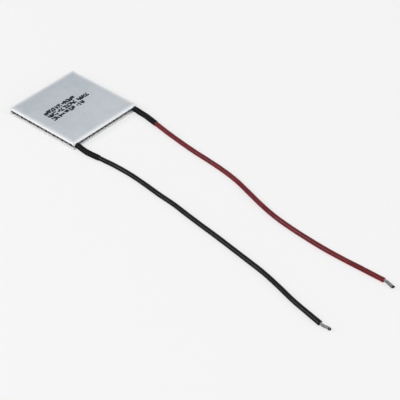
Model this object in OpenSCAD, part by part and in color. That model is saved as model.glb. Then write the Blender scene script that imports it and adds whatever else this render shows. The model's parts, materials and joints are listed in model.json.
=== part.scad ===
// Thermoelectric cooling module: two ceramic plates, and between them an open
// array of semiconductor legs that copper tabs join into one zigzag circuit.
//
// +Z is up, through the cold plate. The origin is the centre of the hot plate's
// outer face. Both leads leave the edge that faces -Y: the black one near the
// corner at -X, the red one near the corner at +X.

/* [Leg array] */
// Number of leg columns, side by side along X, an even number
columns = 16; // [6:2:20]
// Number of places for legs in each column, along Y, an even number
rows = 16; // [6:2:20]
// Width of each square leg
leg_w = 1.4; // [0.8:0.1:2.2]
// Height of each leg
leg_h = 1.14; // [0.8:0.02:2.6]
// Clear space between neighbouring legs
leg_gap = 1.1; // [0.8:0.1:2]

/* [Plates] */
// Thickness of each ceramic plate
plate_t = 0.75; // [0.5:0.05:1.5]
// Bare rim of each plate, from the outermost legs to its edge
plate_rim = 0.55; // [0.2:0.05:3]
// Bevel on every edge of the plates
plate_bevel = 0.06; // [0.02:0.01:0.15]

/* [Copper and solder] */
// Thickness of each copper tab
tab_t = 0.3; // [0.15:0.05:0.5]
// How far a tab reaches past its legs on every side
tab_lip = 0.05; // [0.03:0.01:0.15]
// Cut across each corner of a tab
tab_corner = 0.2; // [0.05:0.05:0.35]
// Thickness of the solder between a leg and its tab
solder_t = 0.03; // [0.02:0.01:0.1]
// How far the solder spreads past a leg on every side, up to the lip
solder_spread = 0.03; // [0:0.01:0.03]

/* [Lead joints] */
// Clear space between a lead's landing and the tabs and legs next to it
landing_gap = 0.25; // [0.15:0.05:0.5]
// Bare copper of a landing beside and behind its lead
landing_lip = 0.25; // [0.1:0.05:0.4]
// How far up the bare wire the solder of its joint climbs
fillet_h = 0.8; // [0.55:0.05:0.95]
// Width of that solder on the landing, beside the bare wire
fillet_w = 0.2; // [0.05:0.05:0.25]

/* [Leads] */
// Diameter of the bare stranded wire
wire_d = 1.2; // [0.6:0.05:1.3]
// Diameter of the lead over its insulation
lead_d = 2.1; // [1.4:0.1:2.4]
// Space between the plates' edge and the insulation and sleeve
lead_gap = 0.15; // [0.05:0.05:0.5]
// Length of the heat-shrink sleeve on the black lead
black_sleeve_len = 13; // [8:0.2:18]
// Length of the heat-shrink sleeve on the red lead
red_sleeve_len = 14.4; // [8:0.2:18]
// Wall of each sleeve
sleeve_wall = 0.2; // [0.15:0.05:0.5]
// Play between a sleeve and the insulation in it
sleeve_play = 0.05; // [0.03:0.01:0.1]
// Length of the stripped tip at each lead's far end, along its bends
tip_len = 5.2; // [3:0.2:7]

/* [Hidden] */

pitch = leg_w + leg_gap;
plate_w = columns * pitch - leg_gap + 2 * plate_rim;
plate_l = rows * pitch - leg_gap + 2 * plate_rim;

tab_w = leg_w + 2 * tab_lip;
solder_w = leg_w + 2 * min(solder_spread, tab_lip);

// Heights of the layers, from the surface under the hot plate upwards
hot_tab_z = plate_t;
hot_solder_z = hot_tab_z + tab_t;
leg_z = hot_solder_z + solder_t;
cold_solder_z = leg_z + leg_h;
cold_tab_z = cold_solder_z + solder_t;
cold_plate_z = cold_tab_z + tab_t;

// The zigzag: cells are numbered along it, up one column and down the next. It
// starts and ends at the two corners of the -Y edge, and those two cells hold
// the leads' landings in place of legs.
last_cell = columns * rows - 1;
function cell_column(k) = floor(k / rows);
function cell_row(k) = cell_column(k) % 2 == 0 ? k % rows : rows - 1 - k % rows;
function cell_place(k) = pitch * [cell_column(k) - (columns - 1) / 2, cell_row(k) - (rows - 1) / 2];

// A lead's place on its landing, counted from the centre of the corner cell
wire_shift = pitch - tab_w / 2 - landing_gap - landing_lip - wire_d / 2;
lead_x = -cell_place(0).x - wire_shift;
exit_y = -plate_l / 2 - lead_gap;
exit_z = hot_solder_z + solder_t + wire_d / 2;
landing_y = [-tab_w / 2, pitch - leg_w / 2 - landing_gap];

// Each lead comes out level and sinks until its sleeve rests on the surface.
// Past the sleeve it settles onto the surface itself.
sleeve_d = lead_d + 2 * (sleeve_play + sleeve_wall);
level_out = 1;
sink = 5;
settle = 9;
lead_sides = 8;
sleeve_sides = 12;
tip_sides = 12;
ring_pitch = 5.5;

// Routes of the two leads in plan, each counted from the lead's exit
black_route = [
    [0, 0], [0, -1], [-0.2, -3], [-0.3, -7], [0.1, -11.5], [0.5, -16], [1, -21], [1, -30], [0.2, -39],
    [-0.9, -48], [-1.7, -57], [-3.1, -66], [-4.4, -75], [-5.6, -84], [-7, -93], [-8.4, -102],
    [-9.9, -111], [-12.1, -120], [-14.6, -129], [-16.3, -137], [-17.8, -144.5],
];
red_route = [
    [0, 0], [0, -1], [-0.1, -3], [-0.2, -7], [-1, -11.5], [-1.8, -16], [-2.6, -21], [-4, -30], [-5.2, -39],
    [-6, -48], [-7, -57], [-8.7, -66], [-11.4, -75], [-14.2, -84], [-16.4, -93], [-17.7, -102],
    [-18.5, -111], [-19, -120], [-19, -129], [-18.7, -138], [-18.4, -148.5],
];
// Route of each tip, counted from the end of its lead: along the lead and to its left
black_tip_route = [[0, 0], [1, 0], [2, 0.1], [2.8, 0.4], [3.5, 0.7], [4.5, 0.8], [8, 0.8]];
red_tip_route = [[0, 0], [1, 0], [2, -0.25], [3, -0.6], [4, -0.95], [5, -1.2], [8, -1.8]];

function two_digits(n) = str(n < 10 ? "0" : "", n);
function legs_node(kind, c) = str(kind, "_legs_column_", two_digits(c + 1));
LEG_NODES = [for (c = [0 : columns - 1]) for (kind = ["p", "n"]) legs_node(kind, c)];

ceramic = "#f4f5f5";
copper = "#c9c6bf";
solder = "#aeb1b4";
p_material = "#5f6268";
n_material = "#4b4e54";
tinned_wire = "#a4a6a8";
black_plastic = "#2a2b2d";
red_plastic = "#8c2d35";
sleeve_plastic = "#1e1e20";

// ---- Outlines and blocks ----

// Corners of a rectangle round the origin, with each corner cut across
function cut_rectangle(size, cut) = let (h = size / 2) [
    [h.x - cut, -h.y], [h.x, cut - h.y], [h.x, h.y - cut], [h.x - cut, h.y],
    [cut - h.x, h.y], [-h.x, h.y - cut], [-h.x, cut - h.y], [cut - h.x, -h.y],
];

// A block standing on z = 0, with all its edges bevelled
module bevelled_block(size, bevel) {
    intersection() {
        linear_extrude(size.z) polygon(cut_rectangle([size.x, size.y], bevel));
        translate([0, size.y / 2, size.z / 2]) rotate([90, 0, 0])
            linear_extrude(size.y) polygon(cut_rectangle([size.x, size.z], bevel));
        translate([-size.x / 2, 0, size.z / 2]) rotate([90, 0, 90])
            linear_extrude(size.x) polygon(cut_rectangle([size.y, size.z], bevel));
    }
}

module ceramic_plate() {
    bevelled_block([plate_w, plate_l, plate_t], plate_bevel);
}

// ---- Legs, tabs and solder ----

// A square pad or leg on cell k, standing on height z
module square_on_cell(k, z, width, height) {
    place = cell_place(k);
    translate([place.x - width / 2, place.y - width / 2, z]) cube([width, width, height]);
}

module legs(c, kind) {
    first = kind == "p" ? 1 : 2;
    for (k = [first : 2 : last_cell - 1])
        if (cell_column(k) == c) square_on_cell(k, leg_z, leg_w, leg_h);
}

module solder_pads(z) {
    for (k = [1 : last_cell - 1]) square_on_cell(k, z, solder_w, solder_t);
}

// Outline of a tab that bridges cell k and the next cell of the zigzag
module tab_outline(k) {
    a = cell_place(k);
    b = cell_place(k + 1);
    span = [abs(b.x - a.x), abs(b.y - a.y)];
    translate((a + b) / 2) polygon(cut_rectangle(span + [tab_w, tab_w], tab_corner));
}

module tabs(first, last, z) {
    for (k = [first : 2 : last]) translate([0, 0, z]) linear_extrude(tab_t) tab_outline(k);
}

// Landing of a lead on a corner cell: from the tab's outer edge to past the lead
module landing_outline() {
    reach = [wire_shift + wire_d / 2 + landing_lip + tab_w / 2, landing_y[1] - landing_y[0]];
    translate([reach.x / 2 - tab_w / 2, landing_y[0] + reach.y / 2])
        polygon(cut_rectangle(reach, tab_corner));
}

// Terminal tab: the zigzag's first tab, widened into the black lead's landing
module terminal_tab() {
    translate([0, 0, hot_tab_z]) linear_extrude(tab_t) union() {
        tab_outline(0);
        translate(cell_place(0)) landing_outline();
    }
}

// ---- Where a lead meets its landing ----

// The bare wire's inner end, short of the landing's inner edge
wire_end_y = cell_place(0).y + landing_y[1] - landing_lip;

module wire_end() {
    translate([-lead_x, wire_end_y, exit_z]) rotate([90, 0, 0])
        cylinder(d = wire_d, h = wire_end_y - exit_y, $fn = 32);
}

// Section of the solder round the wire: flanks that sweep up to it, x from the wire
fillet_steps = 6;
fillet_base = wire_d / 2 + fillet_w;
function flank(i) = let (s = i / fillet_steps)
    [fillet_base + s * (wire_d * 0.42 - fillet_base), fillet_h * pow(s, 1.6)];
function mirrored(points) = [for (i = [len(points) - 1 : -1 : 0]) [-points[i].x, points[i].y]];
fillet_side = [for (i = [0 : fillet_steps]) flank(i)];

module solder_joint() {
    joint_l = landing_y[1] - landing_y[0] - 2 * landing_lip;
    difference() {
        translate([-lead_x, wire_end_y, hot_solder_z]) rotate([90, 0, 0])
            linear_extrude(joint_l) polygon(concat(fillet_side, mirrored(fillet_side)));
        wire_end();
    }
}

// ---- Leads ----

function unit(v) = v / norm(v);
function ease(t) = t * t * (3 - 2 * t);
function mix(a, b, t) = a + (b - a) * t;

// Point on the smooth curve through route points a, b, c and d, u from b to c
function spline(a, b, c, d, u) =
    0.5 * (2 * b + u * (c - a) + u * u * (2 * a - 5 * b + 4 * c - d)
           + u * u * u * (3 * b - a - 3 * c + d));

// Height of a lead's axis at a distance out from its exit
function lead_height(out, sleeve_len) =
    out < sleeve_len ? mix(exit_z, sleeve_d / 2, ease(max(0, min((out - level_out) / sink, 1))))
    : mix(sleeve_d / 2, lead_d / 2, ease(min((out - sleeve_len) / settle, 1)));

// The route in plan, with more points where its own lie far apart
function plan_curve(route) = let (n = len(route) - 1) concat([
    for (i = [0 : n - 1]) let (steps = ceil(norm(route[i + 1] - route[i]) / ring_pitch))
        for (s = [0 : steps - 1])
            spline(route[max(i - 1, 0)], route[i], route[i + 1], route[min(i + 2, n)], s / steps)
], [route[n]]);

// Centre line of a lead, which leaves at x
function lead_line(route, x, sleeve_len) =
    [for (p = plan_curve(route)) [x + p.x, exit_y + p.y, lead_height(-p.y, sleeve_len)]];

// Direction of the line at each of its points
function directions(line) = let (n = len(line) - 1) [
    for (i = [0 : n]) unit(line[min(i + 1, n)] - line[max(i - 1, 0)])
];

// The part of a line from its start to length reach
function cut_line(line, reach, i = 0) = let (step = norm(line[i + 1] - line[i]))
    step >= reach ? [line[i], line[i] + (line[i + 1] - line[i]) * reach / step]
    : concat([line[i]], cut_line(line, reach - step, i + 1));

// Round section of radius r at p, across direction t
function ring(p, t, r, sides) = let (side = unit(cross(t, [0, 0, 1])), up = cross(side, t))
    [for (k = [0 : sides - 1]) p + r * (cos(360 * k / sides) * side + sin(360 * k / sides) * up)];

function rings(line, r, sides) = let (t = directions(line))
    [for (i = [0 : len(line) - 1]) each ring(line[i], t[i], r, sides)];

// Two triangles for each patch between a ring and the next
function wall_faces(count, sides, first = 0) = [
    for (i = [0 : count - 2]) for (k = [0 : sides - 1])
        let (a = first + i * sides + k, b = first + i * sides + (k + 1) % sides)
        for (face = [[a, a + sides, b], [b, a + sides, b + sides]]) face
];
function turned(faces) = [for (f = faces) [f[2], f[1], f[0]]];

// A solid round bar along a line
module bar(line, d, sides) {
    count = len(line);
    end = (count - 1) * sides;
    polyhedron(rings(line, d / 2, sides), concat(
        wall_faces(count, sides),
        [[for (k = [0 : sides - 1]) k]],
        [[for (k = [sides - 1 : -1 : 0]) end + k]]));
}

// A pipe along a line, open at both ends
module pipe(line, d, bore_d, sides) {
    count = len(line);
    inner = count * sides;
    function rim(at) = [for (k = [0 : sides - 1]) let (next = (k + 1) % sides)
        [at + k, at + next, inner + at + next, inner + at + k]];
    polyhedron(concat(rings(line, d / 2, sides), rings(line, bore_d / 2, sides)), concat(
        wall_faces(count, sides),
        turned(wall_faces(count, sides, inner)),
        rim(0),
        [for (f = rim((count - 1) * sides)) [f[3], f[2], f[1], f[0]]]));
}

module sleeve(line, sleeve_len) {
    pipe(cut_line(line, sleeve_len), sleeve_d, lead_d + 2 * sleeve_play, sleeve_sides);
}

// Centre line of the tip that goes on from the end of a lead's line
function tip_line(line, route) = let (n = len(line) - 1, way = unit(line[n] - line[n - 1]))
    cut_line([for (p = route) line[n] + p.x * way + p.y * [-way.y, way.x, 0]], tip_len);

module tip(line, route) {
    bar(tip_line(line, route), wire_d, tip_sides);
}

black_line = lead_line(black_route, -lead_x, black_sleeve_len);
red_line = lead_line(red_route, lead_x, red_sleeve_len);

// ---- The pieces ----

module hot_plate() color(ceramic) ceramic_plate();
module cold_plate() color(ceramic) translate([0, 0, cold_plate_z]) ceramic_plate();
module p_legs(c) color(p_material) legs(c, "p");
module n_legs(c) color(n_material) legs(c, "n");
module hot_tabs() color(copper) tabs(2, last_cell - 3, hot_tab_z);
module cold_tabs() color(copper) tabs(1, last_cell - 2, cold_tab_z);
module hot_solder() color(solder) solder_pads(hot_solder_z);
module cold_solder() color(solder) solder_pads(cold_solder_z);
module black_terminal_tab() color(copper) terminal_tab();
module red_terminal_tab() color(copper) mirror([1, 0, 0]) terminal_tab();
module black_wire_end() color(tinned_wire) wire_end();
module red_wire_end() color(tinned_wire) mirror([1, 0, 0]) wire_end();
module black_solder_joint() color(solder) solder_joint();
module red_solder_joint() color(solder) mirror([1, 0, 0]) solder_joint();
module black_lead() color(black_plastic) bar(black_line, lead_d, lead_sides);
module red_lead() color(red_plastic) bar(red_line, lead_d, lead_sides);
module black_sleeve() color(sleeve_plastic) sleeve(black_line, black_sleeve_len);
module red_sleeve() color(sleeve_plastic) sleeve(red_line, red_sleeve_len);
module black_tip() color(tinned_wire) tip(black_line, black_tip_route);
module red_tip() color(tinned_wire) tip(red_line, red_tip_route);

hot_plate();
cold_plate();
for (c = [0 : columns - 1]) {
    p_legs(c);
    n_legs(c);
}
hot_tabs();
cold_tabs();
hot_solder();
cold_solder();
black_terminal_tab();
red_terminal_tab();
black_wire_end();
red_wire_end();
black_solder_joint();
red_solder_joint();
black_lead();
red_lead();
black_sleeve();
red_sleeve();
black_tip();
red_tip();
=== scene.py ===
# %% [markdown]
# # A thermoelectric cooling module
#
# The real thing is a flat square of white ceramic, 40 mm across and 3.3 mm thick,
# with two leads. Its two plates hold an open array of 254 small semiconductor
# legs, which copper tabs join into one zigzag circuit. The plates, legs and tabs
# were drawn in CAD, and this lesson dresses them. They keep their shapes and get
# real finishes. The soft and fine pieces (leads, sleeves, strands, frozen solder,
# ink) are made again here in finer detail, in the same places.
#
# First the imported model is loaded. Everything is in metres, with +Z up out of the
# cold plate and the origin under the middle of the module.

# %% Load the frame
import json
import math

import bpy
import numpy as np
from mathutils import Matrix, Vector


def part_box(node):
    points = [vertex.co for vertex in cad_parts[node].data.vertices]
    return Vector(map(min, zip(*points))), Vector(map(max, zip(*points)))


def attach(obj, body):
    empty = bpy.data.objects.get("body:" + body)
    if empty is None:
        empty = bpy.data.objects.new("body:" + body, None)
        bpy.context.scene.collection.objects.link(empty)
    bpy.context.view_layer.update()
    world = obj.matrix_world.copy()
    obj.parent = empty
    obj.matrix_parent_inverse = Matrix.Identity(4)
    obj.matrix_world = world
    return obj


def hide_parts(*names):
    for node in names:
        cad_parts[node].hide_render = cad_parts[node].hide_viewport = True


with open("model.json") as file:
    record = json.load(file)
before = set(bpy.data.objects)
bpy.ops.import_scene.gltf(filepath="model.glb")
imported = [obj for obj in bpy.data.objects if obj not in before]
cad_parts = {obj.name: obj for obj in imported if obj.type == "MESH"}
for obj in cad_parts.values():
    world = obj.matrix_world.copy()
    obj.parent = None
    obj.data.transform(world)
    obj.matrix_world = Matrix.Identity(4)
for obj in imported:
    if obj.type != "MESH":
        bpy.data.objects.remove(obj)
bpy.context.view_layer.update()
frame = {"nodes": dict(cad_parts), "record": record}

MM = 0.001

# %% [markdown]
# ## The camera
#
# The module lies flat on a table, and a long lens looks down on it from the corner
# where the black lead leaves. A long lens from far off keeps the square's sides
# nearly parallel. The camera is placed by how far it stands from the point it
# looks at, how high, and from which side. Its axes are then worked out with cross
# products. This comes first, because the cords are checked against its view.

# %% Place the camera
def place_camera(target, distance, rise, turn, roll, lens):
    """A camera at a distance from target. back points from target to camera: rise is its angle
    above the table, and turn its angle round Z from -Y. right is Z cross back, up is back cross
    right, and roll turns right and up in their own plane."""
    back = Vector((math.sin(turn) * math.cos(rise), -math.cos(turn) * math.cos(rise), math.sin(rise)))
    level = Vector((0, 0, 1)).cross(back).normalized()
    upright = back.cross(level)
    right = level * math.cos(roll) + upright * math.sin(roll)
    up = upright * math.cos(roll) - level * math.sin(roll)
    camera = bpy.data.objects.new("camera", bpy.data.cameras.new("camera"))
    camera.data.lens, camera.data.sensor_width = lens, 36
    camera.data.clip_start, camera.data.clip_end = 0.01, 20
    turned = Matrix((right, up, back)).transposed().to_4x4()
    camera.matrix_world = Matrix.Translation(target + back * distance) @ turned
    bpy.context.scene.collection.objects.link(camera)
    bpy.context.scene.camera = camera
    return camera


camera = place_camera(target=Vector((-9.5, -82.47, 0)) * MM, distance=618.9 * MM,
                      rise=math.radians(39.1), turn=math.radians(-49.8), roll=math.radians(0.976), lens=135)
print("camera stands at, mm:", [round(c / MM) for c in camera.matrix_world.translation])

# %% [markdown]
# ## A few tools for surfaces
#
# Most of the new pieces are skins round a path: an insulated lead, a sleeve, a
# strand of wire. Such a skin is a grid of points. One direction of the grid walks
# along the path, the other goes round it, and a radius says how far from the path
# each point is. Numpy works out the whole grid at once.
#
# `walk` says where the path is after each length, and which way its side and its
# top face there. The side is the path's direction cross Z, so nothing twists along
# a lead that lies on a table.

# %% Walk along a path
def lengths_along(line):
    """Length walked at each point of a line: the running sum of the distances between points."""
    return np.r_[0, np.cumsum(np.linalg.norm(np.diff(line, axis=0), axis=1))]


def walk(line, at):
    """Place, direction, side and top of a line after each length in at. Direction is the line's
    slope, side is direction cross Z, and top is side cross direction. Past an end it goes straight on."""
    reach = lengths_along(line)
    slope = np.gradient(line, reach, axis=0)
    inside = np.clip(at, 0, reach[-1])
    place = np.column_stack([np.interp(inside, reach, line[:, k]) for k in range(3)])
    ahead = np.column_stack([np.interp(inside, reach, slope[:, k]) for k in range(3)])
    ahead /= np.linalg.norm(ahead, axis=1)[:, None]
    side = np.cross(ahead, [0, 0, 1])
    side /= np.linalg.norm(side, axis=1)[:, None]
    return place + (at - inside)[:, None] * ahead, ahead, side, np.cross(side, ahead)


def smooth_step(t):
    """0 below 0, 1 above 1, and 3t² - 2t³ between them, which starts and ends level."""
    t = np.clip(t, 0, 1)
    return t * t * (3 - 2 * t)


# %% [markdown]
# `skin` turns a path, lengths and radii into points and faces. It also keeps each
# point's place as it would be if the path were pulled straight. Patterns such as
# the fine lines of drawn plastic read that, so that they follow every bend.
#
# A row of points at radius 0 is one point, a pole, and the skin closes there.
# `outward` measures the volume that the faces enclose. If it is negative, the skin
# is inside out and every face is turned round.

# %% Build a skin round a path
def skin_faces(rows, columns, loop=False):
    """Faces of a grid of points that closes round its columns. With loop its last row joins its
    first. Without, two poles close it, and they are the two points after the grid."""
    i, j = np.meshgrid(np.arange(rows if loop else rows - 1), np.arange(columns), indexing="ij")
    below, next_j = (i + 1) % rows, (j + 1) % columns
    quads = [i * columns + j, below * columns + j, below * columns + next_j, i * columns + next_j]
    faces = np.stack(quads, -1).reshape(-1, 4).tolist()
    if not loop:
        k = np.arange(columns)
        turn, pole, end = (k + 1) % columns, rows * columns, (rows - 1) * columns
        faces += np.stack([np.full(columns, pole), k, turn], -1).tolist()
        faces += np.stack([np.full(columns, pole + 1), end + turn, end + k], -1).tolist()
    return faces


def skin(line, at, radius, sides, loop=False, shift=0.0):
    """Points, faces and straightened points of a skin. Point (i, j) is the line's place after
    at[i], plus radius[i, j] times (cos a of its side + sin a of its top), plus shift[i, j] ahead,
    with a = 2 pi j / sides."""
    place, ahead, side, top = walk(line, at)
    angle = 2 * np.pi * np.arange(sides) / sides
    radius = np.broadcast_to(np.reshape(radius, (len(at), -1)), (len(at), sides))
    shift = np.broadcast_to(shift, (len(at), sides))
    across, high = radius * np.cos(angle), radius * np.sin(angle)
    points = (place[:, None] + across[..., None] * side[:, None] + high[..., None] * top[:, None]
              + shift[..., None] * ahead[:, None])
    straight = np.stack([across, high, at[:, None] + shift], -1)
    points, straight = points.reshape(-1, 3), straight.reshape(-1, 3)
    if not loop:
        points = np.vstack([points, place[[0, -1]]])
        straight = np.vstack([straight, [[0, 0, at[0]], [0, 0, at[-1]]]])
    return points, skin_faces(len(at), sides, loop), straight


def volume(points, faces):
    """Volume inside closed faces: each is cut into triangles, and each triangle adds a sixth of
    a dot (b cross c)."""
    total = 0.0
    for size in {len(face) for face in faces}:
        corner = points[np.array([face for face in faces if len(face) == size])]
        for k in range(1, size - 1):
            total += np.einsum("ij,ij->", corner[:, 0], np.cross(corner[:, k], corner[:, k + 1])) / 6
    return total


def outward(points, faces):
    """The faces, turned round if they enclose a negative volume."""
    return faces if volume(points, faces) > 0 else [face[::-1] for face in faces]


def join(parts):
    """Several (points, faces, straight) as one, with each part's faces counted on."""
    points, faces, straight, count = [], [], [], 0
    for part_points, part_faces, part_straight in parts:
        faces += [[corner + count for corner in face] for face in outward(part_points, part_faces)]
        points.append(part_points)
        straight.append(part_straight)
        count += len(part_points)
    return np.vstack(points), faces, np.vstack(straight)


# %% [markdown]
# Each piece becomes an object at the origin, with its place in its mesh, as the
# CAD nodes are. Its skin is shaded smooth, except across folds that are sharper
# than a given angle, such as a cut end.

# %% Make a piece of it
SMOOTH_BELOW = math.radians(40)


def make_piece(name, parts, material, replaces=()):
    """One object of several skins, riding on the module, with its finish and its straightened
    points in the attribute 'straight'."""
    points, faces, straight = join(parts)
    mesh = bpy.data.meshes.new(name)
    mesh.from_pydata(points, [], faces)
    mesh.attributes.new("straight", "FLOAT_VECTOR", "POINT").data.foreach_set("vector", straight.ravel())
    mesh.polygons.foreach_set("use_smooth", np.ones(len(mesh.polygons), bool))
    mesh.set_sharp_from_angle(angle=SMOOTH_BELOW)
    mesh.materials.append(material)
    piece = bpy.data.objects.new(name, mesh)
    bpy.context.scene.collection.objects.link(piece)
    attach(piece, "root")
    if replaces:
        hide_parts(*replaces)
    print(f"{name}: {len(mesh.polygons)} faces, {volume(points, faces) / MM ** 3:.2f} mm3")
    return piece


# %% [markdown]
# ## Finishes
#
# Colours are written as the eye reads them, from 0 to 255. Blender mixes light in
# linear values, so each colour is turned into those first.
#
# `add` places one shader node. An input is a plain value or the output of another
# node, so a material reads as a list of steps.

# %% Helpers for shader nodes
def colour(red, green, blue):
    """sRGB to linear: c / 12.92 up to 0.04045, and ((c + 0.055) / 1.055) to the power 2.4 above."""
    c = np.array([red, green, blue]) / 255
    return (*np.where(c <= 0.04045, c / 12.92, ((c + 0.055) / 1.055) ** 2.4), 1.0)


def add(tree, kind, inputs=(), **settings):
    """A new node in a tree, with its settings, and with each input set or linked."""
    made = tree.nodes.new("ShaderNode" + kind)
    for key, value in settings.items():
        setattr(made, key, value)
    for key, value in dict(inputs).items():
        if isinstance(value, bpy.types.NodeSocket):
            tree.links.new(value, made.inputs[key])
        else:
            made.inputs[key].default_value = value
    return made


def mix(tree, factor, first, second):
    """A colour between two, by a factor."""
    node = add(tree, "Mix", data_type="RGBA")
    for socket, value in zip([node.inputs[0], node.inputs[6], node.inputs[7]], [factor, first, second]):
        if isinstance(value, bpy.types.NodeSocket):
            tree.links.new(value, socket)
        else:
            socket.default_value = value
    return node.outputs[2]


def scaled(tree, value, low, high, to_low, to_high, smooth=True):
    """A value from low to high, moved to between to_low and to_high, and held there."""
    return add(tree, "MapRange", {"Value": value, "From Min": low, "From Max": high, "To Min": to_low,
                                  "To Max": to_high},
               interpolation_type="SMOOTHSTEP" if smooth else "LINEAR").outputs["Result"]


def maths(tree, operation, *values):
    """One step of arithmetic on one or two values."""
    return add(tree, "Math", dict(enumerate(values)), operation=operation).outputs[0]


# %% [markdown]
# ### Effects that several finishes share
#
# A node group is a small shader of its own with named inputs and outputs. Each of
# these is built once and placed in every finish that needs it, with that finish's
# own sizes.
#
# * *mottle* is soft cloudiness: two sizes of noise, one for patches and one for
#   the mix inside them. No fired, drawn or cast surface is one even shade.
# * *grain* is fine relief for a bump, stretched along one direction where a saw or
#   a die has drawn it out.
# * *dust* lays pale specks and a thin veil over a colour.
# * *worn edge* turns a distance from an edge into a mask with a ragged border.

# %% Build the shared node groups
def new_group(name, takes, gives):
    """An empty node group with its named inputs, each with a value to start from, and outputs."""
    tree = bpy.data.node_groups.new(name, "ShaderNodeTree")
    for label, kind, value in takes:
        socket = tree.interface.new_socket(label, in_out="INPUT", socket_type="NodeSocket" + kind)
        if value is not None:
            socket.default_value = value
    for label, kind in gives:
        tree.interface.new_socket(label, in_out="OUTPUT", socket_type="NodeSocket" + kind)
    return tree, tree.nodes.new("NodeGroupInput").outputs, tree.nodes.new("NodeGroupOutput").inputs


def noise(tree, vector, scale, detail=2.0, roughness=0.5):
    """Cloudy values from 0 to 1, with scale waves to the metre and finer ones in them."""
    return add(tree, "TexNoise", {"Vector": vector, "Scale": scale, "Detail": detail,
                                  "Roughness": roughness}).outputs["Fac"]


mottle, given, out = new_group("mottle", [
    ("Vector", "Vector", None), ("Patch Scale", "Float", 200.0), ("Fine Scale", "Float", 1500.0),
], [("Mask", "Float")])
patches = noise(mottle, given["Vector"], given["Patch Scale"], 3.0)
fine = noise(mottle, given["Vector"], given["Fine Scale"], 2.0)
blend = maths(mottle, "ADD", maths(mottle, "MULTIPLY", patches, 0.7), maths(mottle, "MULTIPLY", fine, 0.3))
mottle.links.new(scaled(mottle, blend, 0.36, 0.64, 0.0, 1.0), out["Mask"])

grain, given, out = new_group("grain", [
    ("Vector", "Vector", None), ("Scale", "Float", 6000.0), ("Stretch", "Vector", (1.0, 1.0, 1.0)),
], [("Height", "Float")])
pulled = add(grain, "VectorMath", {0: given["Vector"], 1: given["Stretch"]}, operation="MULTIPLY").outputs[0]
coarse = noise(grain, pulled, given["Scale"], 2.0, 0.6)
grit = noise(grain, pulled, maths(grain, "MULTIPLY", given["Scale"], 4.0), 1.0)
grain.links.new(maths(grain, "ADD", coarse, maths(grain, "MULTIPLY", grit, 0.35)), out["Height"])

dust, given, out = new_group("dust", [
    ("Vector", "Vector", None), ("Colour", "Color", (1, 1, 1, 1)), ("Dust Colour", "Color", (1, 1, 1, 1)),
    ("Speck Scale", "Float", 2500.0), ("Amount", "Float", 0.3),
], [("Colour", "Color"), ("Mask", "Float")])
cells = add(dust, "TexVoronoi", {"Vector": given["Vector"], "Scale": given["Speck Scale"]})
speck = scaled(dust, cells.outputs["Distance"], 0.16, 0.26, 1.0, 0.0)
drift = noise(dust, given["Vector"], maths(dust, "MULTIPLY", given["Speck Scale"], 0.2))
specks = maths(dust, "MULTIPLY", speck, scaled(dust, drift, 0.52, 0.66, 0.0, 1.0))
haze = noise(dust, given["Vector"], maths(dust, "MULTIPLY", given["Speck Scale"], 0.08))
veil = maths(dust, "MULTIPLY", scaled(dust, haze, 0.4, 0.7, 0.0, 1.0), 0.35)
cover = maths(dust, "MULTIPLY", maths(dust, "MAXIMUM", specks, veil), given["Amount"])
dust.links.new(mix(dust, cover, given["Colour"], given["Dust Colour"]), out["Colour"])
dust.links.new(cover, out["Mask"])

worn_edge, given, out = new_group("worn edge", [
    ("Vector", "Vector", None), ("Distance", "Float", 0.0), ("Width", "Float", 0.001),
    ("Raggedness", "Float", 0.3), ("Scale", "Float", 800.0), ("Falloff", "Float", 1.0),
], [("Mask", "Float")])
ragged = maths(worn_edge, "SUBTRACT", noise(worn_edge, given["Vector"], given["Scale"], 3.0), 0.5)
wander = maths(worn_edge, "MULTIPLY", ragged, given["Raggedness"])
part = maths(worn_edge, "ADD", maths(worn_edge, "DIVIDE", given["Distance"], given["Width"]), wander)
near = scaled(worn_edge, part, 0.0, 1.0, 1.0, 0.0, smooth=False)
worn_edge.links.new(maths(worn_edge, "POWER", near, given["Falloff"]), out["Mask"])
print("node groups:", [group.name for group in bpy.data.node_groups])


# %% [markdown]
# A finish starts from here: one Principled BSDF, whose even values (how metallic,
# how clear) are set on its own sockets. The coordinates are the object's own, or
# the straightened ones on a piece that bends.

# %% Start a finish
def start_finish(name, bends=False, **even):
    """A material's tree, its Principled BSDF and the coordinates that its patterns read."""
    material = bpy.data.materials.new(name)
    material.use_nodes = True
    tree = material.node_tree
    shader = tree.nodes["Principled BSDF"]
    for socket, value in even.items():
        shader.inputs[socket.replace("_", " ")].default_value = value
    where = (add(tree, "Attribute", attribute_name="straight").outputs["Vector"] if bends
             else add(tree, "TexCoord").outputs["Object"])
    return material, tree, shader, where


def use_group(tree, group, **inputs):
    """A shared group placed in a finish, with its inputs set or linked by name."""
    node = add(tree, "Group", node_tree=group)
    for label, value in inputs.items():
        socket = node.inputs[label.replace("_", " ")]
        if isinstance(value, bpy.types.NodeSocket):
            tree.links.new(value, socket)
        else:
            socket.default_value = value
    return node.outputs


def roughen(tree, shader, height, distance, strength=0.6):
    """A bump of the given height, in metres, from a height map."""
    bump = add(tree, "Bump", {"Height": height, "Distance": distance, "Strength": strength})
    tree.links.new(bump.outputs["Normal"], shader.inputs["Normal"])


# %% [markdown]
# ### Fired alumina
#
# The plates are alumina, fired white and then lapped flat. Lapping leaves the face
# a pale blue-grey with a soft, cloudy evenness. Toward the leads' side, nearest the
# camera, the face is painted paler: a painted reflection. Over the last few
# millimetres it grows whiter toward the rim. The finish works out each point's
# distance from the rim: half the plate less the larger of |x| and |y|. Where that
# is almost nothing lie the snapped sides, which are rough and a little grey. Lower
# down they are painted greyer: painted shade near the table and under the gap.

# %% Finish of the plates
plate_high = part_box("cold_plate")[1]
half_plate = plate_high[0]

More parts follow.
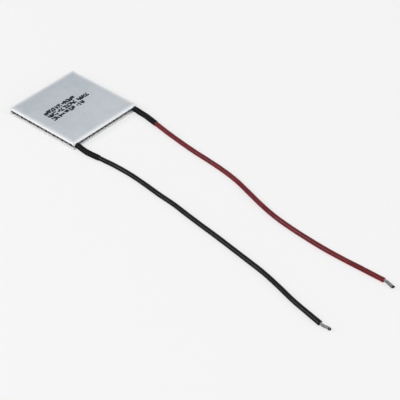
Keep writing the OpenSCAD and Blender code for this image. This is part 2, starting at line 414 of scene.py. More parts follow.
ceramic, tree, shader, where = start_finish("lapped alumina", IOR=1.5)
parts_xyz = add(tree, "SeparateXYZ", {0: where}).outputs
far_out = maths(tree, "MAXIMUM", maths(tree, "ABSOLUTE", parts_xyz[0]), maths(tree, "ABSOLUTE", parts_xyz[1]))
from_rim = maths(tree, "SUBTRACT", half_plate, far_out)
cloud = use_group(tree, mottle, Vector=where, Patch_Scale=110.0, Fine_Scale=700.0)["Mask"]
# Paler toward the leads' side, nearest the camera: a painted reflection. The cloud adds real random tone.
painted_reflection_toward_leads = scaled(tree, parts_xyz[1], half_plate, -half_plate, 0.0, 0.6, smooth=False)
cloud_and_painted_reflection = maths(tree, "ADD", painted_reflection_toward_leads, maths(tree, "MULTIPLY", cloud, 0.4))
face = mix(tree, cloud_and_painted_reflection, colour(170, 178, 186), colour(194, 199, 204))
rim = use_group(tree, worn_edge, Vector=where, Distance=from_rim, Width=2.8 * MM, Raggedness=0.12,
                Scale=350.0, Falloff=2.0)["Mask"]
bright = mix(tree, rim, face, colour(246, 247, 247))
side = scaled(tree, from_rim, 0.01 * MM, 0.05 * MM, 1.0, 0.0)
# Greyer toward the foot of the module: painted shade near the table and under the gap.
painted_low_shade = scaled(tree, parts_xyz[2], 0.0, plate_high[2], 1.0, 0.0, smooth=False)
snapped_side_and_painted_shade = mix(tree, painted_low_shade, colour(232, 233, 233), colour(208, 209, 210))
bright = mix(tree, side, bright, snapped_side_and_painted_shade)
dusty = use_group(tree, dust, Vector=where, Colour=bright, Dust_Colour=colour(150, 152, 150),
                  Speck_Scale=1800.0, Amount=0.12)
tree.links.new(dusty["Colour"], shader.inputs["Base Color"])
tree.links.new(scaled(tree, cloud, 0, 1, 0.5, 0.62), shader.inputs["Roughness"])
roughen(tree, shader, use_group(tree, grain, Vector=where, Scale=5000.0)["Height"], 0.004 * MM)
print("plates are", round(2 * half_plate / MM, 2), "mm wide")

# %% [markdown]
# ### Legs, tabs and solder
#
# The legs are sawn from ingots of bismuth telluride: a grey, brittle half-metal
# with fine saw lines along its sides. Each end is plated with nickel so that
# solder holds, and that shows as a thin bright band. The p-type and n-type
# materials differ only a little in shade.
#
# The tabs are copper with a thin tin plating that stays warm in tone. The solder
# has frozen with a soft, slightly crinkled shine.

# %% Finishes of legs, tabs and solder
leg_low, leg_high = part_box("p_legs_column_01")


def leg_finish(name, dark, light):
    """A leg's finish: grey between two shades, a plated band by the nearer end, and saw lines."""
    material, tree, shader, where = start_finish(name, Metallic=0.55)
    height = add(tree, "SeparateXYZ", {0: where}).outputs[2]
    from_end = maths(tree, "MINIMUM", maths(tree, "SUBTRACT", height, leg_low[2]),
                     maths(tree, "SUBTRACT", leg_high[2], height))
    plated = use_group(tree, worn_edge, Vector=where, Distance=from_end, Width=0.09 * MM, Raggedness=0.4,
                       Scale=4000.0)["Mask"]
    cloud = use_group(tree, mottle, Vector=where, Patch_Scale=900.0, Fine_Scale=5000.0)["Mask"]
    shade = mix(tree, plated, mix(tree, cloud, dark, light), colour(186, 184, 178))
    tree.links.new(shade, shader.inputs["Base Color"])
    tree.links.new(scaled(tree, cloud, 0, 1, 0.38, 0.55), shader.inputs["Roughness"])
    saw_lines = use_group(tree, grain, Vector=where, Scale=2500.0, Stretch=(1.0, 1.0, 12.0))["Height"]
    roughen(tree, shader, saw_lines, 0.01 * MM)
    return material


def metal_finish(name, dark, light, roughness, relief, patch=300.0, bends=False):
    """A metal between two shades. The pair roughness follows the same clouds, and grain gives relief."""
    material, tree, shader, where = start_finish(name, bends, Metallic=1.0)
    cloud = use_group(tree, mottle, Vector=where, Patch_Scale=patch, Fine_Scale=8 * patch)["Mask"]
    tree.links.new(mix(tree, cloud, dark, light), shader.inputs["Base Color"])
    tree.links.new(scaled(tree, cloud, 0, 1, *roughness), shader.inputs["Roughness"])
    roughen(tree, shader, use_group(tree, grain, Vector=where, Scale=3000.0)["Height"], relief)
    return material


p_leg = leg_finish("sawn p material", colour(86, 89, 95), colour(108, 111, 116))
n_leg = leg_finish("sawn n material", colour(72, 76, 83), colour(94, 97, 103))
tinned_copper = metal_finish("tinned copper", colour(160, 157, 152), colour(190, 187, 182),
                             (0.28, 0.42), 0.006 * MM)
frozen_solder = metal_finish("frozen solder", colour(166, 168, 171), colour(200, 202, 204),
                             (0.22, 0.4), 0.015 * MM, 900.0)
print("legs stand from", round(leg_low[2] / MM, 2), "to", round(leg_high[2] / MM, 2), "mm")

# %% [markdown]
# ### Strands and their blob of solder
#
# The strands are tinned too, but their bundle looks darker than a flat sheet of
# tin, because light is lost between them. So the finish reads how far each point
# is from the middle of the bundle: the outside of a strand is bright, and the
# furrows between strands are nearly black. The blob on the black lead's tip is
# dark with burnt flux.

# %% Finishes of the strands and the blob
WIRE_R = 0.6 * MM

tinned_strand, tree, shader, where = start_finish("tinned strand", bends=True, Metallic=1.0)
across = add(tree, "VectorMath", {0: where, 1: (1.0, 1.0, 0.0)}, operation="MULTIPLY").outputs[0]
from_middle = add(tree, "VectorMath", {0: across}, operation="LENGTH").outputs["Value"]
proud = scaled(tree, from_middle, 0.82 * WIRE_R, 0.99 * WIRE_R, 0.0, 1.0)
cloud = use_group(tree, mottle, Vector=where, Patch_Scale=500.0, Fine_Scale=3000.0)["Mask"]
tin = mix(tree, cloud, colour(148, 148, 148), colour(188, 187, 185))
tree.links.new(mix(tree, proud, colour(38, 38, 40), tin), shader.inputs["Base Color"])
tree.links.new(scaled(tree, cloud, 0, 1, 0.25, 0.4), shader.inputs["Roughness"])
fine_lines = use_group(tree, grain, Vector=where, Scale=3000.0, Stretch=(1.0, 1.0, 0.1))["Height"]
roughen(tree, shader, fine_lines, 0.006 * MM)
dark_solder = metal_finish("dark tip solder", colour(36, 35, 34), colour(66, 65, 63), (0.25, 0.45),
                           0.012 * MM, 900.0, bends=True)
print("strands are brightest", round(WIRE_R / MM, 2), "mm from the middle of their bundle")

# %% [markdown]
# ### Insulation and sleeves
#
# The leads' insulation is soft vinyl, drawn through a die, with a low sheen and
# very fine lines along its length. The sleeves over the joints are heat-shrink
# tube: duller, blacker and faintly ribbed. Both have picked up some dust.

# %% Finishes of insulation and sleeves
def plastic_finish(name, deep, worn, dust_colour, dust_amount, roughness, relief, stretch, shine):
    """A plastic between two shades with dust on it, duller where dust lies. stretch draws its grain
    out: a share below 1 makes it longer along that direction."""
    material, tree, shader, where = start_finish(name, bends=True, IOR=1.5, Specular_IOR_Level=shine)
    cloud = use_group(tree, mottle, Vector=where, Patch_Scale=160.0, Fine_Scale=1400.0)["Mask"]
    shade = mix(tree, cloud, deep, worn)
    dusty = use_group(tree, dust, Vector=where, Colour=shade, Dust_Colour=dust_colour, Speck_Scale=1600.0,
                      Amount=dust_amount)
    tree.links.new(dusty["Colour"], shader.inputs["Base Color"])
    duller = maths(tree, "MULTIPLY", dusty["Mask"], 0.3)
    rough = maths(tree, "ADD", scaled(tree, cloud, 0, 1, *roughness), duller)
    tree.links.new(rough, shader.inputs["Roughness"])
    fine_lines = use_group(tree, grain, Vector=where, Scale=3500.0, Stretch=stretch)["Height"]
    roughen(tree, shader, fine_lines, relief)
    return material


DRAWN = (1.0, 1.0, 0.04)
black_vinyl = plastic_finish("black vinyl", colour(4, 4, 5), colour(9, 9, 10), colour(90, 90, 88), 0.06,
                             (0.22, 0.3), 0.006 * MM, DRAWN, shine=0.14)
red_vinyl = plastic_finish("red vinyl", colour(97, 24, 29), colour(111, 32, 37), colour(160, 100, 102), 0.1,
                           (0.22, 0.3), 0.006 * MM, DRAWN, shine=0.14)
shrink_tube = plastic_finish("shrink tube", colour(4, 4, 5), colour(8, 8, 10), colour(80, 80, 80), 0.05,
                             (0.4, 0.52), 0.012 * MM, (1.0, 1.0, 1.0), shine=0.1)
ink, tree, shader, where = start_finish("jet ink", Roughness=0.55, Specular_IOR_Level=0.2)
cloud = use_group(tree, mottle, Vector=where, Patch_Scale=900.0, Fine_Scale=4000.0)["Mask"]
tree.links.new(mix(tree, cloud, colour(12, 16, 24), colour(30, 36, 48)), shader.inputs["Base Color"])
print("materials:", [material.name for material in bpy.data.materials])

# %% [markdown]
# ## The leads
#
# Each lead leaves the gap between the plates under its sleeve, sinks until it lies
# on the table, and runs about 150 mm to a stripped tip. Nothing of it is coiled or
# hidden, so that is its whole length. The route is the CAD model's, point for point,
# so that the detailed lead lies where its solid does. A smooth curve goes through all
# of the points, and the height is worked out from the distance out of the module.

# %% Routes of the two leads
BLACK_ROUTE = np.array([
    [0, 0], [0, -1], [-0.2, -3], [-0.3, -7], [0.1, -11.5], [0.5, -16], [1, -21], [1, -30], [0.2, -39],
    [-0.9, -48], [-1.7, -57], [-3.1, -66], [-4.4, -75], [-5.6, -84], [-7, -93], [-8.4, -102],
    [-9.9, -111], [-12.1, -120], [-14.6, -129], [-16.3, -137], [-17.8, -144.5],
]) * MM
RED_ROUTE = np.array([
    [0, 0], [0, -1], [-0.1, -3], [-0.2, -7], [-1, -11.5], [-1.8, -16], [-2.6, -21], [-4, -30], [-5.2, -39],
    [-6, -48], [-7, -57], [-8.7, -66], [-11.4, -75], [-14.2, -84], [-16.4, -93], [-17.7, -102],
    [-18.5, -111], [-19, -120], [-19, -129], [-18.7, -138], [-18.4, -148.5],
]) * MM
BLACK_TIP_ROUTE = np.array([[0, 0], [1, 0], [2, 0.1], [2.8, 0.4], [3.5, 0.7], [4.5, 0.8], [8, 0.8]]) * MM
RED_TIP_ROUTE = np.array([[0, 0], [1, 0], [2, -0.25], [3, -0.6], [4, -0.95], [5, -1.2], [8, -1.8]]) * MM
LEAD_R, SLEEVE_R, BORE_R = 1.05 * MM, 1.3 * MM, 1.1 * MM
LEVEL_OUT, SINK, SETTLE = 1 * MM, 5 * MM, 9 * MM
BLACK_SLEEVE, RED_SLEEVE, TIP = 13 * MM, 14.4 * MM, 5.2 * MM


def exit_point(wire_end):
    """Where a lead leaves the module: the middle of its wire's outer end."""
    low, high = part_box(wire_end)
    return np.array([(low[0] + high[0]) / 2, low[1], (low[2] + high[2]) / 2])


POINTS_PER_STRETCH = 24


def curve_through(route, per_stretch=POINTS_PER_STRETCH):
    """Catmull-Rom curve. Between points b and c, with a before and d after, it is half of
    2b + u(c - a) + u²(2a - 5b + 4c - d) + u³(3b - a - 3c + d), for u from 0 to 1."""
    padded = np.vstack([route[:1], route, route[-1:]])
    a, b, c, d = padded[:-3, None], padded[1:-2, None], padded[2:-1, None], padded[3:, None]
    u = (np.arange(per_stretch) / per_stretch)[None, :, None]
    curve = 0.5 * (2 * b + u * (c - a) + u ** 2 * (2 * a - 5 * b + 4 * c - d)
                   + u ** 3 * (3 * b - a - 3 * c + d))
    return np.vstack([curve.reshape(-1, route.shape[1]), route[-1:]])


def lead_line(route, start, sleeve_length):
    """Centre line of a lead. It comes out at the exit's height, eases down to the sleeve's radius
    and stays there to the sleeve's end, then eases down to its own radius."""
    plan = curve_through(route)
    out = -plan[:, 1]
    sink = smooth_step((out - LEVEL_OUT) / SINK)
    rest = smooth_step((out - sleeve_length) / SETTLE)
    height = start[2] + (SLEEVE_R - start[2]) * sink + (LEAD_R - SLEEVE_R) * rest
    return np.column_stack([start[0] + plan[:, 0], start[1] + plan[:, 1], height])


def tip_line(line, route):
    """Centre line of a tip, from the end of its lead: along the last half stretch of the lead's
    route, and to its left."""
    way = line[-1] - line[-1 - POINTS_PER_STRETCH // 2]
    way /= np.linalg.norm(way)
    left = np.array([-way[1], way[0], 0])
    plan = curve_through(route, POINTS_PER_STRETCH // 2)
    return line[-1] + plan[:, :1] * way + plan[:, 1:] * left


black_exit, red_exit = exit_point("black_wire_end"), exit_point("red_wire_end")
black_line = lead_line(BLACK_ROUTE, black_exit, BLACK_SLEEVE)
red_line = lead_line(RED_ROUTE, red_exit, RED_SLEEVE)
black_tip_line, red_tip_line = tip_line(black_line, BLACK_TIP_ROUTE), tip_line(red_line, RED_TIP_ROUTE)
black_length, red_length = lengths_along(black_line)[-1], lengths_along(red_line)[-1]
print(f"insulation, mm: black {black_length / MM:.1f}, red {red_length / MM:.1f}; with tips "
      f"{(black_length + TIP) / MM:.1f} and {(red_length + TIP) / MM:.1f}")

# %% [markdown]
# ### Insulation
#
# A lead's insulation could be a curve with a round bevel, but its ends would then
# be plain discs. The real ends are cut, and they show the wall's thickness round
# the wire. So the skin's profile goes from a pole deep in the near end's bore, out
# over the cut rim, all along the outside, over the far rim and back into the far
# bore. Slow waves of about two hundredths of a millimetre keep the outside from
# looking machined, and the far rim is cut a little unevenly.

# %% Skin of the insulation
WALL_STEP = 0.4 * MM
CUT_ROUND = 0.06 * MM
BORE_DEPTH = 0.9 * MM
CLEAR = 0.02 * MM
LEAD_SIDES = 28


def insulation(line, phase, swell):
    """Skin of a lead. Profile rows are (length, radius, is outside). The outside radius gets three
    slow waves, and swells towards the far end, most on its top. The far rim's rows move by two
    waves round the lead."""
    end, bore = lengths_along(line)[-1], WIRE_R + CLEAR
    body = np.linspace(CUT_ROUND, end - CUT_ROUND, int(end / WALL_STEP))
    at = np.r_[BORE_DEPTH, CUT_ROUND, 0, 0, body, end, end, end - CUT_ROUND, end - BORE_DEPTH]
    radius = np.r_[bore, bore, bore + CUT_ROUND, LEAD_R - CUT_ROUND, np.full(len(body), LEAD_R),
                   LEAD_R - CUT_ROUND, bore + CUT_ROUND, bore, bore]
    outside = np.r_[0, 0, 0, 0, np.ones(len(body)), 0, 0, 0, 0][:, None]
    angle = 2 * np.pi * np.arange(LEAD_SIDES) / LEAD_SIDES
    s = at[:, None] / MM
    waves = (0.010 * np.sin(0.31 * s + phase) + 0.007 * np.sin(0.83 * s + 2 * angle + phase)
             + 0.005 * np.sin(1.9 * s - angle + 2 * phase)) * MM
    thicker = swell * smooth_step(1 - (end - at[:, None]) / (11 * MM)) * (0.6 + 0.4 * np.sin(angle)) * MM
    ragged = (0.10 * np.sin(2 * angle + phase) + 0.05 * np.sin(5 * angle + 2 * phase)) * MM
    near_rim = smooth_step(1 - (end - at[:, None]) / (0.5 * MM))
    return skin(line, at, radius[:, None] + outside * (waves + thicker), LEAD_SIDES, shift=ragged * near_rim)


black_lead = make_piece("black_lead_insulation", [insulation(black_line, 0.4, 0.05)], black_vinyl,
                        ["black_lead"])
red_lead = make_piece("red_lead_insulation", [insulation(red_line, 2.1, 0.0)], red_vinyl,
                      ["red_lead"])

# %% [markdown]
# ### Shrunk sleeves
#
# A sleeve of heat-shrink tube covers each lead where it meets the plates. It is a
# pipe, so its profile is a loop: along the outside, over the far lip, back along
# the bore and over the near lip. Shrinking leaves faint rings round it. It pulls
# tighter at the far end, and the lip there is a little wavy.

# %% Skin of a sleeve
LIP_ROUND = 0.07 * MM
SLEEVE_SIDES = 48


def shrunk_sleeve(line, length, phase):
    """Skin of a sleeve. The outside radius carries rings, a sine of length with a slow change of
    strength, and shallow dents that wind round it, and it narrows over the last stretch. The far
    lip's rows move by two waves round it."""
    body = np.linspace(LIP_ROUND, length - LIP_ROUND, int(length / (0.12 * MM)))
    at = np.r_[body, length, length, body[::-1], 0, 0]
    outer = np.full(len(body), SLEEVE_R - 0.02 * MM)
    s = body / MM
    outer += (0.016 * np.sin(2 * np.pi * s / 0.95 + phase) * (0.6 + 0.4 * np.sin(0.7 * s + phase))
              + 0.012 * np.sin(0.9 * s + 2 * phase)) * MM
    outer -= 0.05 * MM * smooth_step(1 - (length - body) / (1.6 * MM))
    inner = np.full(len(body), BORE_R - 0.02 * MM)
    radius = np.r_[outer, outer[-1] - LIP_ROUND, inner[-1] + LIP_ROUND, inner[::-1],
                   inner[0] + LIP_ROUND, outer[0] - LIP_ROUND]
    angle = 2 * np.pi * np.arange(SLEEVE_SIDES) / SLEEVE_SIDES
    far_lip = smooth_step(1 - (length - at[:, None]) / (1.2 * MM))
    wavy = (0.08 * np.sin(angle + phase) + 0.04 * np.sin(3 * angle + 2 * phase)) * MM
    dents = 0.012 * MM * np.sin(3 * angle + 0.8 * at[:, None] / MM + phase)
    is_outer = np.r_[np.ones(len(body) + 1), np.zeros(len(body) + 2), 1][:, None]
    return skin(line, at, radius[:, None] + dents * is_outer, SLEEVE_SIDES, loop=True,
                shift=(wavy - 0.02 * MM) * far_lip)


black_sleeve = make_piece("black_lead_sleeve", [shrunk_sleeve(black_line, BLACK_SLEEVE, 0.9)], shrink_tube,
                          ["black_sleeve"])
red_sleeve = make_piece("red_lead_sleeve", [shrunk_sleeve(red_line, RED_SLEEVE, 2.6)], shrink_tube,
                        ["red_sleeve"])

# %% [markdown]
# ### Strands
#
# Inside each lead are 19 tinned strands, laid in two rings round one in the middle
# and twisted together. They show at the stripped tips and where the wire crosses
# the gap to its landing. Each strand is a thin tube of its own. Its centre circles
# the bundle's line as it goes along, and its ends are small domes. A ring of n
# strands that touch has a strand radius of sin(180° / n) times the ring's radius.

# %% Bundles of strands
OUTER_COUNT, INNER_COUNT = 12, 6
TWIST = 2 * np.pi / (11 * MM)
sine = math.sin(math.pi / OUTER_COUNT)
STRAND_R = WIRE_R * sine / (1 + sine)
OUTER_RING = WIRE_R - STRAND_R
STRAND_SIDES = 8


def strand(line, first, last, ring, turn, slant, spread):
    """One strand. Its centre is ring away from the line, at an angle of turn plus TWIST times the
    length. Its radius is STRAND_R, times the root of 1 - (1 - t)² over one strand radius at each
    end. slant shortens it by how far to the side it ends, for a cut at an angle. spread lets it
    stray outwards by the cut end, by that share of ring, more on some strands than others, and
    lifts the whole end off the table by that share of the outer ring. The straightened points are
    also turned back by the twist, so that they tell how far out in the bundle they lie."""
    last = last - slant * math.cos(turn + TWIST * last)
    at = np.linspace(first, last, int((last - first) / (0.16 * MM)))
    dome = STRAND_R * np.array([0.12, 0.5])
    at = np.sort(np.r_[at, first + dome, last - dome])
    t = np.clip(np.minimum(at - first, last - at) / STRAND_R + 0.05, 0, 1)
    place, ahead, side, top = walk(line, at)
    angle = (turn + TWIST * at)[:, None]
    strayed = spread * smooth_step((at - first) / (last - first))[:, None]
    looser = 1 + strayed * (1 + 0.4 * math.sin(5 * turn))
    lift = strayed * OUTER_RING * [0, 0, 1]
    centre = place + lift + ring * looser * (np.cos(angle) * side + np.sin(angle) * top)
    points, faces, straight = skin(centre, lengths_along(centre), STRAND_R * np.sqrt(1 - (1 - t) ** 2),
                                   STRAND_SIDES)
    undo = -TWIST * np.r_[np.repeat(at, STRAND_SIDES), at[[0, -1]]]
    x, y = straight[:, 0], straight[:, 1]
    untwisted = np.column_stack([ring * math.cos(turn) + x * np.cos(undo) - y * np.sin(undo),
                                 ring * math.sin(turn) + x * np.sin(undo) + y * np.cos(undo), straight[:, 2]])
    return points, faces, untwisted


def bundle(line, first, last, slant=0.0, spread=0.0):
    """19 strands: 12 outside, 6 in a ring inside them, and one in the middle."""
    turns = lambda count: 2 * np.pi * np.arange(count) / count
    outer = [strand(line, first, last, OUTER_RING, turn, slant, spread) for turn in turns(OUTER_COUNT)]
    inner = [strand(line, first, last, OUTER_RING - 2 * STRAND_R, turn, slant, spread)
             for turn in turns(INNER_COUNT)]
    return outer + inner + [strand(line, first, last, 0.0, 0.0, slant, spread)]


# %% [markdown]
# The black lead's tip was dipped in solder, which has drawn into a dark blob at
# its end. The blob is a skin round the last part of the tip's line. Its radius
# rises from the strands' own, swells and rounds off at a pole. The red lead's tip
# is only twisted, and it is cut at a slant.

# %% Tips
BLOB_ROWS, BLOB_SIDES = 22, 36


def solder_blob(line, first, last, swell):
    """Skin of the blob. With t from 0 to 1 along it, its radius is 0.98 of the bundle's, plus swell
    times the sine of 180° t, all times the root of 1 - t to the sixth. Ripples follow the strands
    under it, and it is slightly oval."""
    t = 1 - np.linspace(1, 0, BLOB_ROWS) ** 1.6
    at = first + (last - first) * t
    angle = 2 * np.pi * np.arange(BLOB_SIDES) / BLOB_SIDES
    plump = (WIRE_R * 0.98 + swell * np.sin(np.pi * t)) * np.sqrt(np.maximum(1 - t ** 6, 0.004))
    ripple = 0.02 * MM * (1 - t[:, None]) * np.cos(OUTER_COUNT * (angle - TWIST * at[:, None]))
    oval = 0.03 * MM * np.sin(2 * angle + 1.0) * np.sin(np.pi * t[:, None])
    return skin(line, at, plump[:, None] + ripple + oval, BLOB_SIDES)


black_tip = make_piece("black_lead_tip", bundle(black_tip_line, -BORE_DEPTH, TIP - 0.3 * MM, spread=0.08),
                       tinned_strand, ["black_tip"])
black_blob = make_piece("black_tip_blob", [solder_blob(black_tip_line, TIP - 1.3 * MM, TIP, 0.08 * MM)],
                        dark_solder)
red_tip = make_piece("red_lead_tip", bundle(red_tip_line, -BORE_DEPTH, TIP, 0.3 * MM, 0.3), tinned_strand,
                     ["red_tip"])

# %% [markdown]
#
# A lead is a cord: a fixed length of something flexible. Where each one leaves
# the module and its true length are printed.

for lead, line, start, length, carries in [
    (black_lead, black_line, black_exit, black_length, [black_sleeve, black_tip, black_blob]),
    (red_lead, red_line, red_exit, red_length, [red_sleeve, red_tip]),
]:
    print(lead.name, "leaves at, mm:", np.round(start / MM, 2), "and is", round(length / MM, 1), "mm long")

# %% [markdown]
# ## The joints inside
#
# In the gap, each wire lies on its copper landing in a mound of solder. The wire is
# the same bundle of strands, straight. The mound is a sheet over a grid of
# (across, along). Its height falls from the wire's flank to the landing in a hollow
# curve, and it rounds off at both ends. The same grid on the landing closes it from
# below.

# %% Wire ends and solder joints
def wire_in_gap(wire_end):
    """Line of a straight wire, from its inner end to its exit."""
    low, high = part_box(wire_end)
    middle = (np.array(low) + high) / 2
    return np.array([[middle[0], y, middle[2]] for y in np.linspace(high[1], low[1], 12)])


def solder_mound(joint):
    """Skin of a mound in its node's box. With x from -1 to 1 across, t from -1 to 1 along, and ends
    the root of 1 - t to the eighth, the height is the box's, times the lesser of 1 and
    1.9 (1 - |x|)^1.5, times 0.15 + 0.85 ends, with slow lumps. It never passes the box's top."""
    low, high = (np.array(corner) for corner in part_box(joint))
    x, t = np.meshgrid(np.linspace(-1, 1, 29), np.linspace(-1, 1, 25), indexing="xy")
    ends = np.sqrt(np.maximum(1 - t ** 8, 0))
    lumps = 1 + 0.05 * np.sin(5 * t + 2 * x) + 0.03 * np.sin(11 * t)
    flank = np.minimum((1 - np.abs(x)) ** 1.5 * 1.9, 1.0)
    height = (high[2] - low[2]) * flank * (0.15 + 0.85 * ends) * lumps
    height[:, [0, -1]] = height[[0, -1], :] = 0
    middle, half = (low + high) / 2, (high - low) / 2
    points = np.stack([middle[0] + half[0] * x * (0.9 + 0.1 * ends), middle[1] + half[1] * t,
                       low[2] + np.minimum(height, high[2] - low[2])], -1)
    under = points * [1, 1, 0] + [0, 0, low[2]]
    rows, columns = x.shape
    i, j = np.meshgrid(np.arange(rows - 1), np.arange(columns - 1), indexing="ij")
    first = i * columns + j
    quads = np.stack([first, first + 1, first + columns + 1, first + columns], -1).reshape(-1, 4)
    edge = np.zeros((rows, columns), bool)
    edge[0] = edge[-1] = edge[:, 0] = edge[:, -1] = True
    number = np.arange(rows * columns)
    below = np.where(edge.ravel(), number, number + rows * columns)
    points = np.vstack([points.reshape(-1, 3), under.reshape(-1, 3)])
    return points, quads.tolist() + below[quads][:, ::-1].tolist(), points


for lead_name in ("black", "red"):
    line = wire_in_gap(lead_name + "_wire_end")
    strands = bundle(line, 0.0, lengths_along(line)[-1] + 0.6 * MM)
    make_piece(lead_name + "_wire_strands", strands, tinned_strand, [lead_name + "_wire_end"])
    make_piece(lead_name + "_joint_solder", [solder_mound(lead_name + "_solder_joint")], frozen_solder,
               [lead_name + "_solder_joint"])

# %% [markdown]
# ## Finishes on the CAD pieces
#
# The plates, legs, tabs and pads already have their real shapes, so they only
# get their finishes. The record names a material slot for every node, and a table
# from slot to finish is all that is needed.

# %% Dress the CAD nodes
FINISH = {"ceramic": ceramic, "p_leg": p_leg, "n_leg": n_leg, "copper_tab": tinned_copper,
          "solder": frozen_solder, "tinned_wire": tinned_strand, "black_insulation": black_vinyl,
          "red_insulation": red_vinyl, "black_sleeve": shrink_tube}
for part in frame["record"]["subparts"]:
    piece = frame["nodes"][part["node"]]
    piece.data.materials.clear()
    piece.data.materials.append(FINISH[part["material_slot"]])

# %% [markdown]
# ## Ink marks
#
# A jet printer has marked the cold face with three rows of ink drops. What they say
# is no part of the object, so strips of small modules stand in their place, like the
# modules of a matrix code. A strip is three modules high, and each sign in it stands
# for a column: `#` fills two modules drawn at random, `|` all three, `:` the outer
# two, `-` the middle one, and a space none.
#
# A module is two drops wide and two or three high. A drop is a flat round scale of
# ink a few thousandths of a millimetre thick: a ring on the ceramic, a smaller ring
# above it, and one point in its middle.

# %% Print the marks
DROP_PITCH, DROP_R, INK_T = 0.32 * MM, 0.28 * MM, 0.006 * MM
MODULE_ROWS = ((0, 1), (2, 3, 4), (5, 6))
FILLED = {"|": (0, 1, 2), "-": (1,), ":": (0, 2), " ": ()}
STRIPS = ["####|####| |-### --|###|#####",
          "##|##### --### :|#########  ###|######",
          "##|## |---- ### |####  - | ###"]


def drop_places(strips, left, top, line_gap):
    """Middle of every drop: columns run along X and rows along Y, both a drop pitch apart. A column
    of modules is two drops wide, and each strip is line_gap below the last."""
    draw = np.random.default_rng(11)
    places = []
    for line, marks in enumerate(strips):
        for n, mark in enumerate(marks):
            filled = sorted(draw.permutation(3)[:2]) if mark == "#" else FILLED[mark]
            places += [(left + (2 * n + column) * DROP_PITCH, top - line * line_gap + row * DROP_PITCH)
                       for column in (0, 1) for k in filled for row in MODULE_ROWS[k]]
    return np.array(places)


def ink_drops(places, surface, sides=9):
    """Scales of ink. Each has a lower ring at its radius, an upper ring at 0.8 of it, and one
    middle point on top and one underneath. Sizes and places change a little from drop to drop."""
    draw = np.random.default_rng(7)
    count = len(places)
    size = DROP_R * draw.uniform(0.85, 1.12, count)
    middle = places + draw.normal(0, 0.012 * MM, (count, 2))
    angle = 2 * np.pi * np.arange(sides) / sides
    circle = np.column_stack([np.cos(angle), np.sin(angle)])
    ring = lambda scale: middle[:, None] + scale * size[:, None, None] * circle
    flat = np.concatenate([ring(1.0), ring(0.8), middle[:, None], middle[:, None]], 1)
    height = surface + INK_T * np.r_[np.full(sides, -0.2), np.full(sides, 0.9), 1.0, -0.2]
    points = np.concatenate([flat, np.broadcast_to(height[None, :, None], (count, 2 * sides + 2, 1))], 2)
    k, turn = np.arange(sides), (np.arange(sides) + 1) % sides
    wall = np.stack([k, turn, turn + sides, k + sides], -1)
    cap = np.stack([k + sides, turn + sides, np.full(sides, 2 * sides)], -1)
    base = np.stack([turn, k, np.full(sides, 2 * sides + 1)], -1)
    counted_on = (2 * sides + 2) * np.arange(count)[:, None, None]
    faces = []
    for shape in (wall, cap, base):
        faces += (shape[None] + counted_on).reshape(-1, shape.shape[1]).tolist()
    return points.reshape(-1, 3), faces, points.reshape(-1, 3)


places = drop_places(STRIPS, left=-13.1 * MM, top=3.7 * MM, line_gap=2.8 * MM)
make_piece("ink_marks", [ink_drops(places, plate_high[2])], ink)
print(len(places), "drops of ink")

# %% [markdown]
# ## Table and light
#
# The light on an open, level surface adds up to 1, so that a colour renders about as
# it is written. About two thirds come from a soft sky, brightest on the camera's
# side, and the rest from two wide lamps. The main lamp stands behind the module on
# the black lead's side, where its shine runs along both leads.
#
# The table is one pale plane. To the camera it is about two thirds an even white glow
# and one third the lit surface, so that it stays pale and shadows on it are faint.
# The sky shows the same pale shade to the camera and in reflections.

# %% Table, lamps and sky
PALE = colour(245, 245, 245)
SKY, BRIGHT_SIDE = 0.65, (-0.7, -0.7, 0.1)
TABLE_HALF, TABLE_TOP, TABLE_GLOW = 3.0, -0.02 * MM, 0.65
LIT_POINT = Vector((-10, -80, 0)) * MM


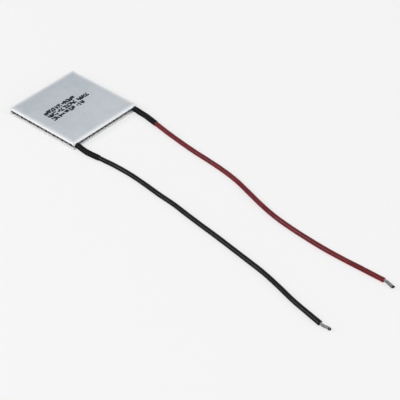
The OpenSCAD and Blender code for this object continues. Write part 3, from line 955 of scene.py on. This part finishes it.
def wide_lamp(name, direction, distance, size, share):
    """A square lamp that looks from a direction at LIT_POINT, about the middle of the module and its
    leads. A level surface there gets share of the light that makes a colour render as written: the
    power is share times pi squared times the distance squared, over the sine of the lamp's rise."""
    way = Vector(direction).normalized()
    lamp = bpy.data.objects.new(name, bpy.data.lights.new(name, "AREA"))
    lamp.data.shape, lamp.data.size = "SQUARE", size
    lamp.data.energy = share * math.pi ** 2 * distance ** 2 / way.z
    lamp.location = LIT_POINT + way * distance
    lamp.rotation_euler = way.to_track_quat("Z", "Y").to_euler()
    bpy.context.scene.collection.objects.link(lamp)
    print(name, "gives", round(lamp.data.energy, 2), "W")


table = bpy.data.meshes.new("table")
square = ((-1, -1), (1, -1), (1, 1), (-1, 1))
table.from_pydata([(TABLE_HALF * x, TABLE_HALF * y, TABLE_TOP) for x, y in square], [], [(0, 1, 2, 3)])
table_top, tree, shader, where = start_finish("table top", Roughness=0.8)
pale = mix(tree, noise(tree, where, 40.0), colour(224, 224, 224), colour(226, 226, 226))
tree.links.new(pale, shader.inputs["Base Color"])
glow = add(tree, "Emission", {"Color": (1, 1, 1, 1)})
share = maths(tree, "MULTIPLY", add(tree, "LightPath").outputs["Is Camera Ray"], TABLE_GLOW)
even = add(tree, "MixShader", {0: share, 1: shader.outputs[0], 2: glow.outputs[0]})
tree.links.new(even.outputs[0], tree.nodes["Material Output"].inputs["Surface"])
table.materials.append(table_top)
table_object = bpy.data.objects.new("table", table)
bpy.context.scene.collection.objects.link(table_object)

wide_lamp("main lamp", (-0.62, 0.52, 0.55), 0.9, 0.3, 0.2)
wide_lamp("second lamp", (0.1, -1.0, 0.5), 1.0, 0.8, 0.14)
world = bpy.data.worlds.new("soft sky")
world.use_nodes = True
bpy.context.scene.world = world
tree = world.node_tree
toward = add(tree, "VectorMath", {0: add(tree, "TexCoord").outputs["Generated"], 1: BRIGHT_SIDE},
             operation="DOT_PRODUCT").outputs["Value"]
strength = scaled(tree, toward, -0.9, 0.9, 0.3 * SKY, 1.7 * SKY, smooth=False)
ray = add(tree, "LightPath").outputs
seen = maths(tree, "MAXIMUM", maths(tree, "MAXIMUM", ray["Is Camera Ray"], ray["Is Glossy Ray"]),
             ray["Is Transmission Ray"])
grey = add(tree, "CombineXYZ", {0: strength, 1: strength, 2: strength}).outputs[0]
sky_colour = mix(tree, seen, grey, PALE)
tree.links.new(sky_colour, tree.nodes["Background"].inputs["Color"])
bpy.context.scene.view_settings.view_transform = "Standard"
